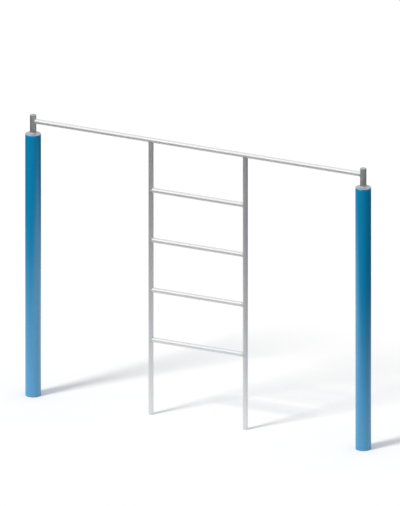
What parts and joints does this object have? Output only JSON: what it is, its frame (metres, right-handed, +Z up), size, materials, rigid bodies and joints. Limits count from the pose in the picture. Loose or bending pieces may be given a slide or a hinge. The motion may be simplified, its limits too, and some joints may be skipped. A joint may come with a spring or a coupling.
{
  "type": "swedish wall bars",
  "caption": "Free-standing exercise frame: blue posts carry a pull-up bar on metal spigots, and a rung ladder stands under the middle of the bar for climbing and stretching.",
  "frame": {"origin": "on the ground, midway between the two posts", "axes": "+X along the bar towards the right post, +Y away from the viewer through the frame, +Z up"},
  "size_m": [2.92, 0.12, 2.25],
  "materials": {
    "blue_paint": "sky blue powder coat, smooth and fairly glossy",
    "bare_steel": "bare stainless tube, brushed along its length",
    "zinc_steel": "galvanised, dull grey",
    "screw_steel": "blackened"
  },
  "bodies": {
    "root": {"left_post": "blue_paint", "right_post": "blue_paint", "left_post_foot": "zinc_steel", "right_post_foot": "zinc_steel", "left_post_cap": "bare_steel", "right_post_cap": "bare_steel", "left_register_sleeve": "zinc_steel", "right_register_sleeve": "zinc_steel", "left_spigot": "bare_steel", "right_spigot": "bare_steel", "left_spigot_lid": "bare_steel", "right_spigot_lid": "bare_steel", "left_spigot_guide": "zinc_steel", "right_spigot_guide": "zinc_steel", "left_lock_screw_1": "screw_steel", "left_lock_screw_2": "screw_steel", "right_lock_screw_1": "screw_steel", "right_lock_screw_2": "screw_steel", "top_bar": "bare_steel", "left_upright": "bare_steel", "right_upright": "bare_steel", "left_upright_foot": "zinc_steel", "right_upright_foot": "zinc_steel", "rung_1": "bare_steel", "rung_2": "bare_steel", "rung_3": "bare_steel", "rung_4": "bare_steel"}
  },
  "joints": []
}
